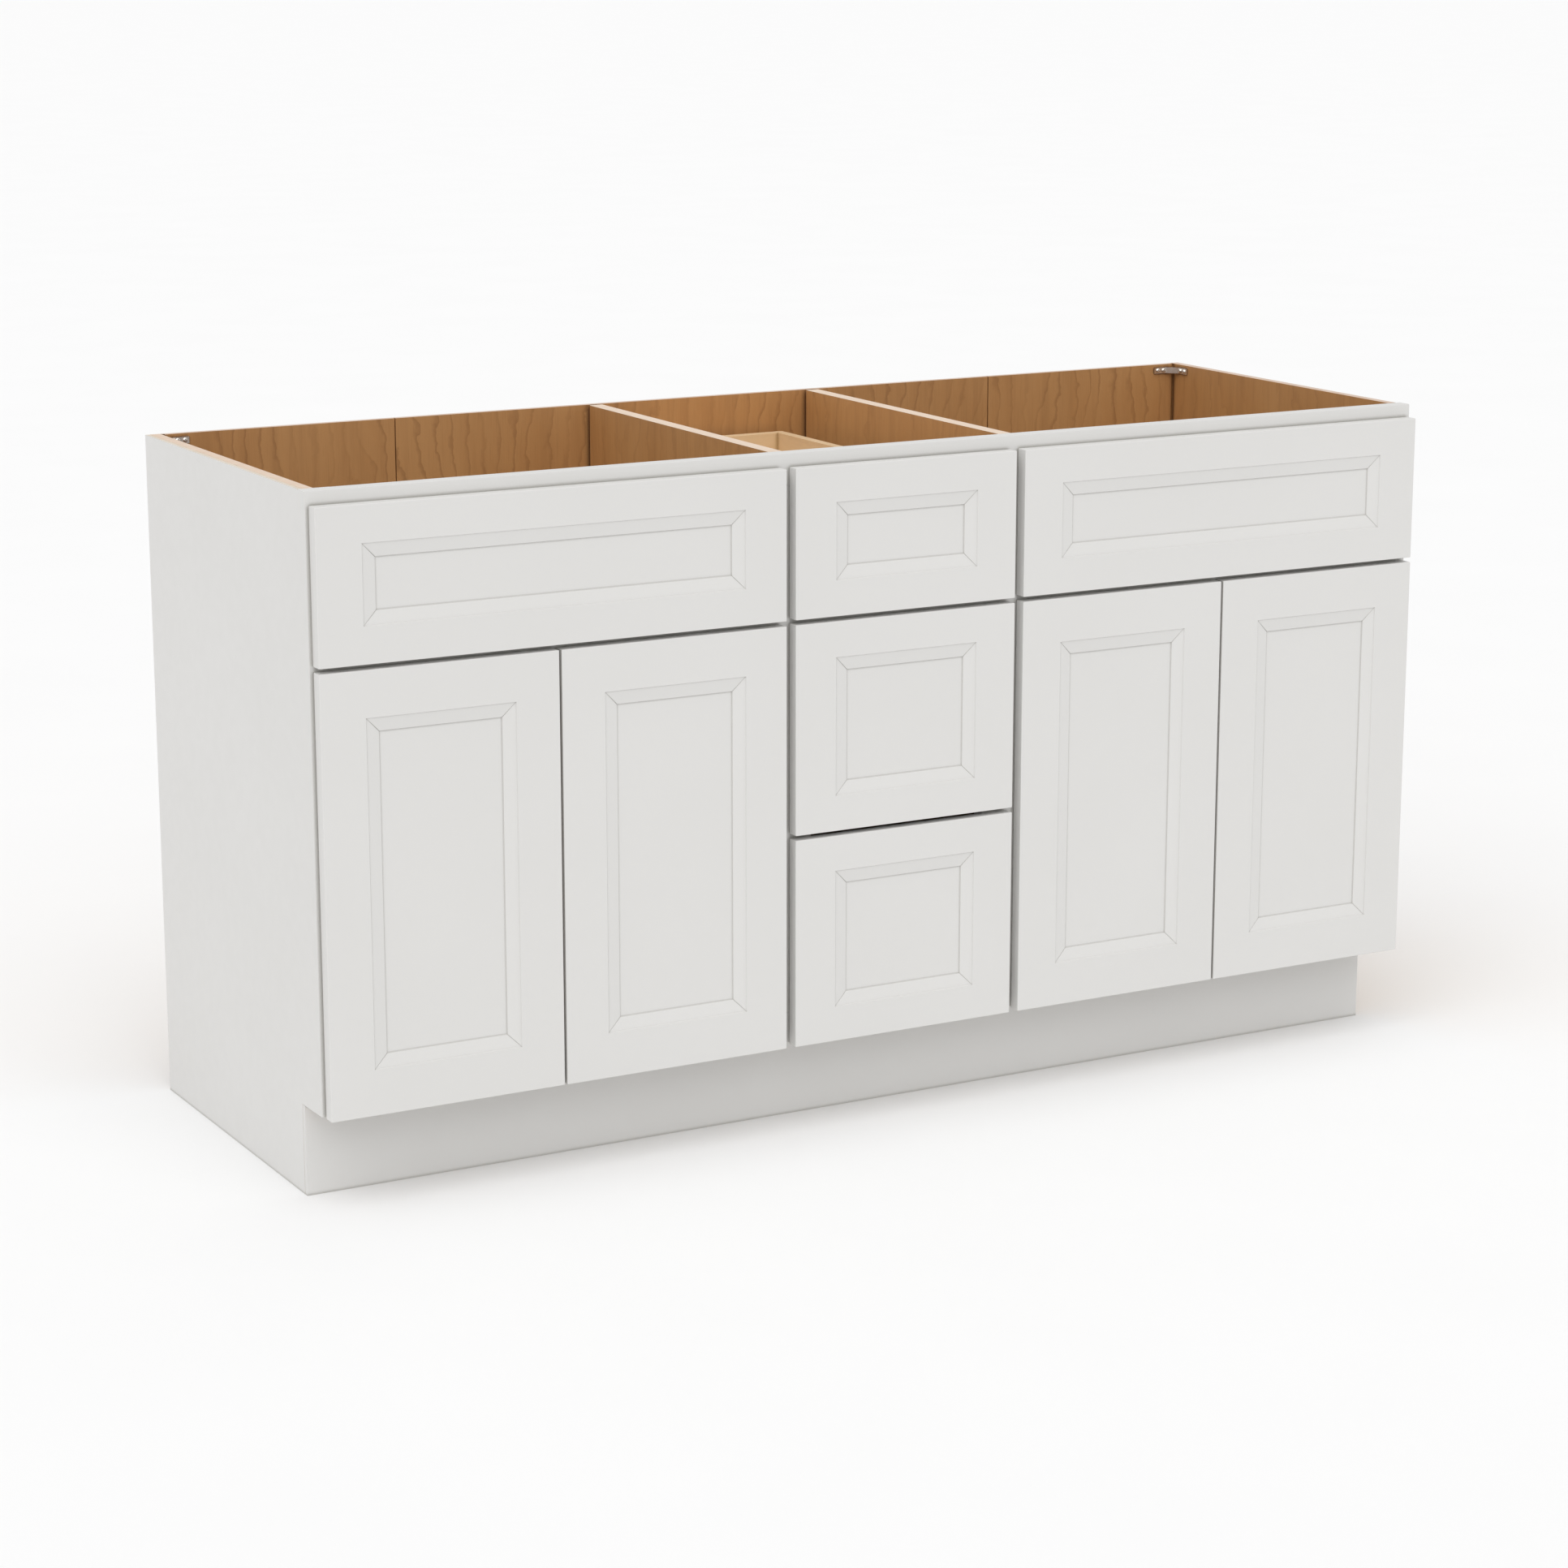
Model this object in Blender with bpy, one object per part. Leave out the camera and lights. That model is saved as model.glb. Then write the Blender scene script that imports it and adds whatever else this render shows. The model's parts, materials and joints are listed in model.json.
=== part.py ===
"""Bathroom vanity cabinet with an open top: a framed plywood case with two sink bays, four doors and
three drawers.

Metres, +Z up, +X to the right when facing the doors, the front looks along -Y.
The origin is at the middle of the footprint, on the floor.
"""

import bpy
import bmesh
from mathutils import Vector

# ---- Driving dimensions -------------------------------------------------------------------------

WIDTH = 1.524            # face frame, left edge to right edge
DEPTH = 0.533            # door fronts to the back of the case
HEIGHT = 0.833
GAP = 0.0003             # clearance between pieces that touch

FRONT_OFFSET = 0.01905   # door fronts stand this far in front of the face frame
FRONT_THICKNESS = 0.01755
FIXED_FRONT_THICKNESS = FRONT_OFFSET - GAP

TOE_HEIGHT = 0.1103
TOE_DEPTH = 0.0531       # toe kick behind the face frame
TOE_THICKNESS = 0.006
TOE_RIGHT_X = 0.7514

FRAME_THICKNESS = 0.020
STILE_WIDTH = 0.038
MULLION_WIDTH = 0.0762
MULLION_CENTER_X = 0.1594
RAIL_HEIGHT = 0.038
MID_RAIL_CENTER_Z = 0.633

SIDE_INNER_X = 0.743
RIGHT_SIDE_OUTER_X = 0.7555   # the face frame stands proud of the right end
PARTITION_CENTER_X = 0.1595
PARTITION_THICKNESS = 0.018
BACK_THICKNESS = 0.009
BACK_SEAM_X = 0.437
DECK_THICKNESS = 0.012

COLUMN_INNER_X = 0.1653  # side columns of fronts, nearest edge to the middle
COLUMN_OUTER_X = 0.758
CENTER_HALF_X = 0.153
DOOR_PAIR_CENTER_X = 0.4616
DOOR_PAIR_GAP = 0.003
TOP_FRONTS_Z = (0.636, 0.817)
MIDDLE_FRONT_Z = (0.373, 0.630)
BOTTOM_FRONT_Z = (0.109, 0.367)
DOOR_Z = (0.109, 0.630)

PROFILE_STILE = 0.0548   # flat border of a front, at its sides
PROFILE_RAIL = 0.0435    # flat border above and below, on false and drawer fronts
PROFILE_BEVEL = 0.0185
PROFILE_RECESS = 0.0045

BOX_HALF_WIDTH = 0.1085
BOX_WALL = 0.013
BOX_BACK_BEHIND_FRAME = 0.491
BOX_TOP_BELOW_FRONT = 0.0345
BOX_HEIGHTS = {"top": 0.110, "middle": 0.190, "bottom": 0.170}
BOX_FLOOR_RISE = 0.012
BOX_FLOOR_THICKNESS = 0.006

SLIDE_HEIGHT = 0.045
SLIDE_SHEET = 0.0014
SLIDE_RISE = 0.050       # slide axis above the bottom edge of the drawer box
RUNNER_HEIGHT = 0.036
RUNNER_LENGTH = 0.470
SLIDE_FOOT = (0.030, 0.060)   # rear bracket, width and height

HINGE_END_DISTANCE = 0.090
CUP_RADIUS = 0.0175
CUP_DEPTH = 0.012
CUP_EDGE_DISTANCE = 0.0225   # cup centre to the door's hinged edge
CUP_FLANGE = (0.010, 0.052)  # flange width and height
HINGE_ARM = (0.0055, 0.0200, 0.014)   # width, depth into the case, height
HINGE_PLATE_SHEET = 0.0014
HINGE_PLATE_HEIGHT = 0.048
HINGE_PLATE_WRAP = 0.018

BRACKET_LEG = 0.033
BRACKET_CHAMFER = 0.014
BRACKET_SHEET = 0.002
BRACKET_HEIGHT = 0.008
BRACKET_BELOW_TOP = 0.0042

ROUND_SEGMENTS = 32

# ---- Derived planes -----------------------------------------------------------------------------

FRONT_Y = -DEPTH / 2
BACK_Y = DEPTH / 2
FRAME_Y = FRONT_Y + FRONT_OFFSET
CASE_Y = FRAME_Y + FRAME_THICKNESS + GAP     # front of everything behind the face frame
LINING_Y = BACK_Y - BACK_THICKNESS           # inner face of the back
DOOR_BACK_Y = FRONT_Y + FRONT_THICKNESS
HALF_WIDTH = WIDTH / 2
STILE_INNER_X = HALF_WIDTH - STILE_WIDTH
MULLION_INNER_X = MULLION_CENTER_X - MULLION_WIDTH / 2
MULLION_OUTER_X = MULLION_CENTER_X + MULLION_WIDTH / 2
BOTTOM_RAIL_TOP = TOE_HEIGHT + RAIL_HEIGHT
TOP_RAIL_BOTTOM = HEIGHT - RAIL_HEIGHT
DECK_BOTTOM = BOTTOM_RAIL_TOP - DECK_THICKNESS

# name: RGB, roughness, metallic
FINISHES = {
    "white_paint": ((0.80, 0.79, 0.77), 0.38, 0.0),
    "case_plywood": ((0.33, 0.17, 0.07), 0.50, 0.0),
    "drawer_maple": ((0.62, 0.40, 0.22), 0.50, 0.0),
    "zinc_steel": ((0.62, 0.62, 0.60), 0.35, 1.0),
    "nickel_steel": ((0.66, 0.65, 0.63), 0.28, 1.0),
}


def clear_scene():
    for thing in list(bpy.data.objects):
        bpy.data.objects.remove(thing)


def make_material(name):
    """A copy of a finish for one object."""
    color, roughness, metallic = FINISHES[name]
    material = bpy.data.materials.new(name)
    material.use_nodes = True
    shader = material.node_tree.nodes["Principled BSDF"]
    shader.inputs["Base Color"].default_value = (*color, 1.0)
    shader.inputs["Roughness"].default_value = roughness
    shader.inputs["Metallic"].default_value = metallic
    material.diffuse_color = (*color, 1.0)
    return material


def make_empty(name, place):
    """A joint's place, which the moving pieces hang from."""
    pivot = bpy.data.objects.new(name, None)
    pivot.location = place
    bpy.context.collection.objects.link(pivot)
    return pivot


def add_object(name, bm, place, finish, parent=None):
    """Turns a bmesh made around its own origin into an object that stands at a world place."""
    bmesh.ops.recalc_face_normals(bm, faces=bm.faces)
    mesh = bpy.data.meshes.new(name)
    bm.to_mesh(mesh)
    bm.free()
    thing = bpy.data.objects.new(name, mesh)
    bpy.context.collection.objects.link(thing)
    thing.location = place
    if parent:
        thing.parent = parent
        thing.location = Vector(place) - parent.location
    thing.data.materials.append(make_material(finish))
    return thing


def board(name, x, y, z, finish, parent=None):
    """A rectangular board between two X, two Y and two Z planes."""
    low = Vector((x[0], y[0], z[0]))
    high = Vector((x[1], y[1], z[1]))
    bm = bmesh.new()
    bmesh.ops.create_cube(bm, size=1.0)
    bmesh.ops.scale(bm, vec=high - low, verts=bm.verts)
    return add_object(name, bm, (low + high) / 2, finish, parent)


def prism(name, outline, along, start, end, finish, parent=None):
    """Extrudes an outline of world coordinates along one axis.

    The outline's pairs are (y, z) for X, (x, z) for Y and (x, y) for Z.
    """
    order = {"X": (2, 0, 1), "Y": (0, 2, 1), "Z": (0, 1, 2)}[along]
    points = [Vector([(a, b, start)[i] for i in order]) for a, b in outline]
    travel = Vector([(0, 0, end - start)[i] for i in order])
    origin = sum(points, Vector()) / len(points) + travel / 2
    bm = bmesh.new()
    face = bm.faces.new([bm.verts.new(point - origin) for point in points])
    grown = bmesh.ops.extrude_face_region(bm, geom=[face])["geom"]
    bmesh.ops.translate(bm, vec=travel, verts=[v for v in grown if isinstance(v, bmesh.types.BMVert)])
    return add_object(name, bm, origin, finish, parent)


def cylinder_along_y(name, place, radius, y, finish, parent=None):
    """A disc or plug whose axis runs along Y, through an (x, z) place."""
    bm = bmesh.new()
    depth = y[1] - y[0]
    bmesh.ops.create_cone(
        bm, cap_ends=True, segments=ROUND_SEGMENTS, radius1=radius, radius2=radius, depth=depth)
    for vert in bm.verts:
        vert.co = Vector((vert.co.x, vert.co.z, -vert.co.y))
    return add_object(name, bm, (place[0], (y[0] + y[1]) / 2, place[1]), finish, parent)


def boolean(thing, helper, operation):
    """Cuts a helper out of an object, or joins it on, and hides the helper."""
    helper.hide_render = True
    helper.display_type = "WIRE"
    modifier = thing.modifiers.new(operation.title(), "BOOLEAN")
    modifier.operation = operation
    modifier.solver = "EXACT"
    modifier.object = helper


# ---- Case ---------------------------------------------------------------------------------------

def build_side_panel(name, x):
    """A side with the toe notch cut out of its lower front corner."""
    notch_y = FRAME_Y + TOE_DEPTH + TOE_THICKNESS + GAP
    outline = [
        (notch_y, 0.0), (BACK_Y, 0.0), (BACK_Y, HEIGHT), (CASE_Y, HEIGHT),
        (CASE_Y, TOE_HEIGHT), (notch_y, TOE_HEIGHT),
    ]
    return prism(name, outline, "X", x[0], x[1], "case_plywood")


def build_case():
    build_side_panel("left_side_panel", (-HALF_WIDTH, -SIDE_INNER_X))
    build_side_panel("right_side_panel", (SIDE_INNER_X, RIGHT_SIDE_OUTER_X))

    inside = SIDE_INNER_X - GAP
    deck_y = (CASE_Y, LINING_Y - GAP)
    board("bottom_panel", (-inside, inside), deck_y, (DECK_BOTTOM, BOTTOM_RAIL_TOP), "case_plywood")
    for side, sign in (("left", -1), ("right", 1)):
        middle = sign * PARTITION_CENTER_X
        x = (middle - PARTITION_THICKNESS / 2, middle + PARTITION_THICKNESS / 2)
        board(f"{side}_partition", x, deck_y, (BOTTOM_RAIL_TOP + GAP, HEIGHT), "case_plywood")

    back_y = (LINING_Y, BACK_Y)
    back_z = (TOE_HEIGHT, HEIGHT)
    board("back_panel_left", (-inside, -BACK_SEAM_X - GAP), back_y, back_z, "case_plywood")
    board("back_panel_center", (-BACK_SEAM_X, BACK_SEAM_X), back_y, back_z, "case_plywood")
    board("back_panel_right", (BACK_SEAM_X + GAP, inside), back_y, back_z, "case_plywood")

    toe_y = FRAME_Y + TOE_DEPTH
    toe_z = (0.0, TOE_HEIGHT - GAP)
    board("toe_kick_board", (-HALF_WIDTH, TOE_RIGHT_X), (toe_y, toe_y + TOE_THICKNESS), toe_z, "white_paint")


def build_face_frame():
    frame_y = (FRAME_Y, FRAME_Y + FRAME_THICKNESS)
    full_z = (TOE_HEIGHT, HEIGHT)
    between_rails = (BOTTOM_RAIL_TOP + GAP, TOP_RAIL_BOTTOM - GAP)
    rail_x = (-STILE_INNER_X + GAP, STILE_INNER_X - GAP)

    board("frame_left_stile", (-HALF_WIDTH, -STILE_INNER_X), frame_y, full_z, "white_paint")
    board("frame_right_stile", (STILE_INNER_X, HALF_WIDTH), frame_y, full_z, "white_paint")
    board("frame_top_rail", rail_x, frame_y, (TOP_RAIL_BOTTOM, HEIGHT), "white_paint")
    board("frame_bottom_rail", rail_x, frame_y, (TOE_HEIGHT, BOTTOM_RAIL_TOP), "white_paint")
    board("frame_left_mullion", (-MULLION_OUTER_X, -MULLION_INNER_X), frame_y, between_rails, "white_paint")
    board("frame_right_mullion", (MULLION_INNER_X, MULLION_OUTER_X), frame_y, between_rails, "white_paint")

    mid_z = (MID_RAIL_CENTER_Z - RAIL_HEIGHT / 2, MID_RAIL_CENTER_Z + RAIL_HEIGHT / 2)
    bays = {
        "left": (-STILE_INNER_X + GAP, -MULLION_OUTER_X - GAP),
        "center": (-MULLION_INNER_X + GAP, MULLION_INNER_X - GAP),
        "right": (MULLION_OUTER_X + GAP, STILE_INNER_X - GAP),
    }
    for bay, x in bays.items():
        board(f"frame_{bay}_mid_rail", x, frame_y, mid_z, "white_paint")


def build_corner_bracket(side, sign):
    """A bent steel strip across a rear top corner: a leg on each wall and a chamfer between them."""
    corner = Vector((sign * (SIDE_INNER_X - GAP), LINING_Y - GAP))
    sheet = BRACKET_SHEET
    inner_chamfer = BRACKET_CHAMFER + sheet * 0.6
    reach = [
        (BRACKET_LEG, 0.0), (BRACKET_CHAMFER, 0.0), (0.0, BRACKET_CHAMFER), (0.0, BRACKET_LEG),
        (sheet, BRACKET_LEG), (sheet, inner_chamfer), (inner_chamfer, sheet), (BRACKET_LEG, sheet),
    ]
    outline = [(corner.x - sign * a, corner.y - b) for a, b in reach]
    top = HEIGHT - BRACKET_BELOW_TOP
    prism(f"corner_bracket_{side}", outline, "Z", top - BRACKET_HEIGHT, top, "zinc_steel")


# ---- Fronts -------------------------------------------------------------------------------------

def panel_front(name, x, z, thickness, rail, parent=None):
    """A one-piece front: a flat border, a mitred bevel and a recessed flat field."""
    center = Vector(((x[0] + x[1]) / 2, FRONT_Y, (z[0] + z[1]) / 2))
    half_x = (x[1] - x[0]) / 2
    half_z = (z[1] - z[0]) / 2
    bm = bmesh.new()

    def ring(inset_x, inset_z, y):
        a = half_x - inset_x
        b = half_z - inset_z
        return [bm.verts.new((sx * a, y, sz * b)) for sx, sz in ((-1, -1), (1, -1), (1, 1), (-1, 1))]

    rings = [
        ring(0.0, 0.0, thickness),
        ring(0.0, 0.0, 0.0),
        ring(PROFILE_STILE, rail, 0.0),
        ring(PROFILE_STILE + PROFILE_BEVEL, rail + PROFILE_BEVEL, PROFILE_RECESS),
    ]
    for outer, inner in zip(rings, rings[1:]):
        for i in range(4):
            j = (i + 1) % 4
            bm.faces.new((outer[i], outer[j], inner[j], inner[i]))
    bm.faces.new(rings[0])
    bm.faces.new(rings[-1])
    return add_object(name, bm, center, "white_paint", parent)


def build_false_fronts():
    for side, sign in (("left", -1), ("right", 1)):
        x = sorted((sign * COLUMN_INNER_X, sign * COLUMN_OUTER_X))
        panel_front(f"{side}_false_front", x, TOP_FRONTS_Z, FIXED_FRONT_THICKNESS, PROFILE_RAIL)


# ---- Doors and their hinges ---------------------------------------------------------------------

def build_hinge(door, tag, edge_x, inward, frame_edge_x, z, pivot):
    """A concealed cup hinge: the cup and arm ride on the door, the plate stays on the face frame.

    inward is +1 or -1, the direction along X from the door's hinged edge into the door.
    """
    cup_x = edge_x + inward * CUP_EDGE_DISTANCE
    bore_y = (DOOR_BACK_Y - CUP_DEPTH, DOOR_BACK_Y + CUP_DEPTH)
    bore = cylinder_along_y(f"{door.name}_bore_{tag}", (cup_x, z), CUP_RADIUS, bore_y, "white_paint", pivot)
    boolean(door, bore, "DIFFERENCE")

    flange_y = (DOOR_BACK_Y + GAP, FRAME_Y - GAP)
    cup_y = (DOOR_BACK_Y - CUP_DEPTH + GAP, flange_y[1])
    cup_name = f"{door.name}_hinge_cup_{tag}"
    cup = cylinder_along_y(cup_name, (cup_x, z), CUP_RADIUS - GAP, cup_y, "nickel_steel", pivot)

    ear_x = sorted((cup_x - inward * CUP_FLANGE[0] / 2, cup_x + inward * CUP_FLANGE[0] / 2))
    ear_z = (z - CUP_FLANGE[1] / 2, z + CUP_FLANGE[1] / 2)
    flange = board(f"{cup_name}_flange", ear_x, flange_y, ear_z, "nickel_steel", pivot)

    plate_face = frame_edge_x + inward * (GAP + HINGE_PLATE_SHEET)
    arm_start = plate_face + inward * GAP * 2
    arm_x = sorted((arm_start, arm_start + inward * HINGE_ARM[0]))
    arm_y = (flange_y[0] + GAP, FRAME_Y + HINGE_ARM[1])
    arm_z = (z - HINGE_ARM[2] / 2, z + HINGE_ARM[2] / 2)
    arm = board(f"{cup_name}_arm", arm_x, arm_y, arm_z, "nickel_steel", pivot)
    boolean(cup, flange, "UNION")
    boolean(cup, arm, "UNION")

    near = frame_edge_x + inward * GAP
    wrap = near - inward * HINGE_PLATE_WRAP
    rear = FRAME_Y + FRAME_THICKNESS + GAP
    outline = [
        (near, FRAME_Y + GAP), (plate_face, FRAME_Y + GAP), (plate_face, rear + HINGE_PLATE_SHEET),
        (wrap, rear + HINGE_PLATE_SHEET), (wrap, rear), (near, rear),
    ]
    plate_z = (z - HINGE_PLATE_HEIGHT / 2, z + HINGE_PLATE_HEIGHT / 2)
    prism(f"{door.name}_hinge_plate_{tag}", outline, "Z", plate_z[0], plate_z[1], "nickel_steel")


def build_door(name, hinge_x, free_x, frame_edge_x):
    pivot = make_empty(f"{name}_pivot", (hinge_x, FRONT_Y, 0.0))
    x = sorted((hinge_x, free_x))
    door = panel_front(name, x, DOOR_Z, FRONT_THICKNESS, PROFILE_STILE, pivot)
    inward = 1 if free_x > hinge_x else -1
    heights = {"lower": DOOR_Z[0] + HINGE_END_DISTANCE, "upper": DOOR_Z[1] - HINGE_END_DISTANCE}
    for tag, z in heights.items():
        build_hinge(door, tag, hinge_x, inward, frame_edge_x, z, pivot)


def build_doors():
    for side, sign in (("left", -1), ("right", 1)):
        outer_free = sign * (DOOR_PAIR_CENTER_X + DOOR_PAIR_GAP / 2)
        inner_free = sign * (DOOR_PAIR_CENTER_X - DOOR_PAIR_GAP / 2)
        build_door(f"{side}_outer_door", sign * COLUMN_OUTER_X, outer_free, sign * STILE_INNER_X)
        build_door(f"{side}_inner_door", sign * COLUMN_INNER_X, inner_free, sign * MULLION_OUTER_X)


# ---- Drawers and their slides -------------------------------------------------------------------

def drawer_box(name, z, parent):
    """Four walls round a floor that sits a little above their lower edges."""
    y = (DOOR_BACK_Y + GAP, FRAME_Y + BOX_BACK_BEHIND_FRAME)
    center = Vector((0.0, (y[0] + y[1]) / 2, (z[0] + z[1]) / 2))
    size = Vector((2 * BOX_HALF_WIDTH, y[1] - y[0], z[1] - z[0]))
    bm = bmesh.new()
    bmesh.ops.create_cube(bm, size=1.0)
    bmesh.ops.scale(bm, vec=size, verts=bm.verts)
    depths = {1: size.z - BOX_FLOOR_RISE - BOX_FLOOR_THICKNESS, -1: BOX_FLOOR_RISE}
    for sign, depth in depths.items():
        bm.normal_update()
        face = next(f for f in bm.faces if f.normal.z * sign > 0.9)
        bmesh.ops.inset_region(bm, faces=[face], thickness=BOX_WALL, use_even_offset=True)
        bmesh.ops.translate(bm, vec=(0, 0, -sign * depth), verts=face.verts)
    return add_object(name, bm, center, "drawer_maple", parent)


def channel(name, web_x, lip_x, z, half_height, y, parent=None):
    """A steel C section that lies along Y, its web on one side and its lips towards the other."""
    sheet = SLIDE_SHEET if lip_x > web_x else -SLIDE_SHEET
    low = z - half_height
    high = z + half_height
    outline = [
        (web_x, low), (lip_x, low), (lip_x, low + SLIDE_SHEET), (web_x + sheet, low + SLIDE_SHEET),
        (web_x + sheet, high - SLIDE_SHEET), (lip_x, high - SLIDE_SHEET), (lip_x, high), (web_x, high),
    ]
    return prism(name, outline, "Y", y[0], y[1], "zinc_steel", parent)


def build_slides(level, box_bottom, pivot):
    z = box_bottom + SLIDE_RISE
    web = MULLION_INNER_X - GAP
    web_y = (FRAME_Y + GAP, LINING_Y - GAP)
    runner_y = (FRAME_Y + 2 * GAP, FRAME_Y + RUNNER_LENGTH)
    runner_web = BOX_HALF_WIDTH + GAP
    for side, sign in (("left", -1), ("right", 1)):
        lip = runner_web + SLIDE_SHEET
        member = channel(f"{level}_slide_{side}", sign * web, sign * lip, z, SLIDE_HEIGHT / 2, web_y)
        foot_x = sorted((sign * (web - SLIDE_SHEET), sign * (web + SLIDE_FOOT[0] - SLIDE_SHEET)))
        foot_y = (web_y[1] - 2 * SLIDE_SHEET, web_y[1])
        foot_z = (z - SLIDE_FOOT[1] / 2, z + SLIDE_FOOT[1] / 2)
        foot = board(f"{level}_slide_{side}_foot", foot_x, foot_y, foot_z, "zinc_steel")
        boolean(member, foot, "UNION")
        runner_lip = sign * (web - 2 * SLIDE_SHEET)
        runner_web_x = sign * runner_web
        channel(f"{level}_runner_{side}", runner_web_x, runner_lip, z, RUNNER_HEIGHT / 2, runner_y, pivot)


def build_drawers():
    fronts = {"top": TOP_FRONTS_Z, "middle": MIDDLE_FRONT_Z, "bottom": BOTTOM_FRONT_Z}
    for level, z in fronts.items():
        box_top = z[1] - BOX_TOP_BELOW_FRONT
        box_bottom = box_top - BOX_HEIGHTS[level]
        pivot = make_empty(f"{level}_drawer_pivot", (0.0, FRONT_Y, box_bottom))
        front_x = (-CENTER_HALF_X, CENTER_HALF_X)
        panel_front(f"{level}_drawer_front", front_x, z, FRONT_THICKNESS, PROFILE_RAIL, pivot)
        drawer_box(f"{level}_drawer_box", (box_bottom, box_top), pivot)
        build_slides(level, box_bottom, pivot)


def main():
    clear_scene()
    build_case()
    build_face_frame()
    build_corner_bracket("left", -1)
    build_corner_bracket("right", 1)
    build_false_fronts()
    build_doors()
    build_drawers()


main()
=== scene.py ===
"""Looks of the bathroom vanity cabinet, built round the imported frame.

Metres, +Z up, +X to the right when facing the doors, the front looks along -Y. Every place comes from
the boxes of the CAD nodes. Boards, profiled fronts, dovetailed drawer boxes and hardware replace the plain
nodes, and each surface has a procedural finish.
"""

import json
import math

import bmesh
import bpy
from mathutils import Matrix, Vector


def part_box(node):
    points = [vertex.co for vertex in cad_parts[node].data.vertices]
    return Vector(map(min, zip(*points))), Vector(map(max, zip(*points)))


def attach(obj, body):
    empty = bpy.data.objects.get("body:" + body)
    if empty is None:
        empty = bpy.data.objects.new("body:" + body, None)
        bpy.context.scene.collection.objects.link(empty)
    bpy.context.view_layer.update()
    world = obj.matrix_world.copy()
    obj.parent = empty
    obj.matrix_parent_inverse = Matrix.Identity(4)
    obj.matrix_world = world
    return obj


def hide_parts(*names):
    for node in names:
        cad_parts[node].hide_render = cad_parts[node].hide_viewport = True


# ---- Sizes --------------------------------------------------------------------------------------

GAP = 0.0003             # what the CAD leaves between pieces that touch
EASE = 0.0009            # rounding of a painted or sanded edge
RAW_EASE = 0.0003        # rounding of a sawn plywood edge
SHARP_ANGLE = math.radians(38)

SKIN_THICKNESS = 0.006   # finished panel glued on the left end
SEAM_REBATE = 0.0007     # half the fine groove at a seam of the back
SEAM_CHAMFER = 0.0006    # half the groove that shows outside
CORNER_REBATE = 0.0030   # the groove where the back meets the sides
REBATE_DEPTH = 0.004
REAR_CLEARANCE = 0.005   # between the partitions and the back

BORDER_STILE = 0.0548    # flat border of a front, at its sides
BORDER_RAIL = 0.0435     # above and below, on false and drawer fronts
FRONT_EASE = 0.0009
REAR_EASE = 0.0025       # rounding of a front's rear edge, which makes the soft shadow round it
CORNER_EASE = 0.0010     # rounding of a front's four corners, seen from the front
EDGE_STEPS = 4           # segments of each rounded edge
MITRE_HALF_WIDTH = 0.0007
MITRE_DEPTH = 0.00045
# (distance in from the border's inner edge, depth) across the moulding, from the quirk to the field
MOULDING = (
    (0.0000, 0.0000), (0.0006, 0.0010), (0.0012, 0.0010), (0.0062, 0.0017),
    (0.0165, 0.0036), (0.0171, 0.0048), (0.0179, 0.0049), (0.0190, 0.0045),
)
BEVEL = (2, 3, 4)        # the points of it between the quirk and the step, where the mitre line shows

BOX_WALL = 0.013
BOX_FLOOR_RISE = 0.012
BOX_FLOOR_THICKNESS = 0.006
BOX_SCREW = (0.0045, 0.0022)            # radius and height of a head
BOX_SCREW_X = 0.055      # either side of the middle
BOX_SCREW_RISE = 0.035
BOX_SCREW_DROP = 0.030
TAIL_PITCH = 0.030
TAIL_SHARE = 0.34        # of the pitch, for half a tail at its tip
TAIL_SLOPE = 0.0020      # how much wider half a tail is at its tip
PIN_OVERLAP = 0.0005     # how far a pin reaches into its board
JOINT_LINE = 0.00012     # clearance that shows a glued joint

SHEET = 0.0014           # slide and hinge sheet steel
BEND_RADIUS = 0.0018
CHANNEL_CLEARANCE = 0.0045              # above and below the runner
CHANNEL_SCREW = (0.0036, 0.0016)        # radius and height of a head
CHANNEL_SCREW_SHARES = (0.05, 0.45)     # places along the channel
FOOT_SCREW_RISE = 0.020
FOOT_SCREW_SHIFT = 0.004
FOOT_EASE = 0.0005
BALL_RADIUS = 0.0014
BALL_RISE = 0.0016       # of the balls' middles from the runner
BALLS_PER_ROW = 9
BALL_SPACING = 0.016
CAGE_START = 0.030       # from the front of the channel
CAGE_DEPTH = 0.0042      # from the channel's lips
CAGE_HALF_WIDTH = 0.0022
CAGE_HALF_SHEET = 0.0003
CAGE_EASE = 0.0001

CUP_RADIUS = 0.0172
CUP_EDGE_DISTANCE = 0.0225
CUP_RIM = 0.0010         # how far the cup's rim stands out of the door
# (distance in from the cup's outside, distance below its rim or above its underside)
CUP_LIP = ((0.0, 0.0007), (0.0005, 0.0), (0.0012, 0.0), (0.0016, 0.0006))
CUP_FLOOR = ((0.0018, 0.0030), (0.0037, 0.0012))
CUP_FLANGE_HEIGHT = 0.051
EAR_HALF = Vector((0.005, 0.0005, 0.0045))
EAR_MIDDLE = 0.0006      # of an ear's thickness, from the door
EAR_SCREW = (0.0030, 0.0004)            # radius and height of a head
ARM_WIDTH = 0.0055
ARM_HEIGHT = 0.014
ARM_SINK = 0.004         # how far the arm reaches into the cup
PIN_RADIUS = 0.0016
PIN_PROUD = 0.0006
PIN_INSET = 0.005        # of each pin from the arm's ends
PLATE_SCREW_RISE = 0.0155
PLATE_SCREW_SHIFT = 0.002               # towards the outside, of the screws on the frame's back
PLATE_SCREW = (0.0032, 0.0012)          # radius and height of a head
BORE_RADIUS = 0.0175
BORE_DEPTH = 0.012
BORE_START = -0.004      # outside the door

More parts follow.
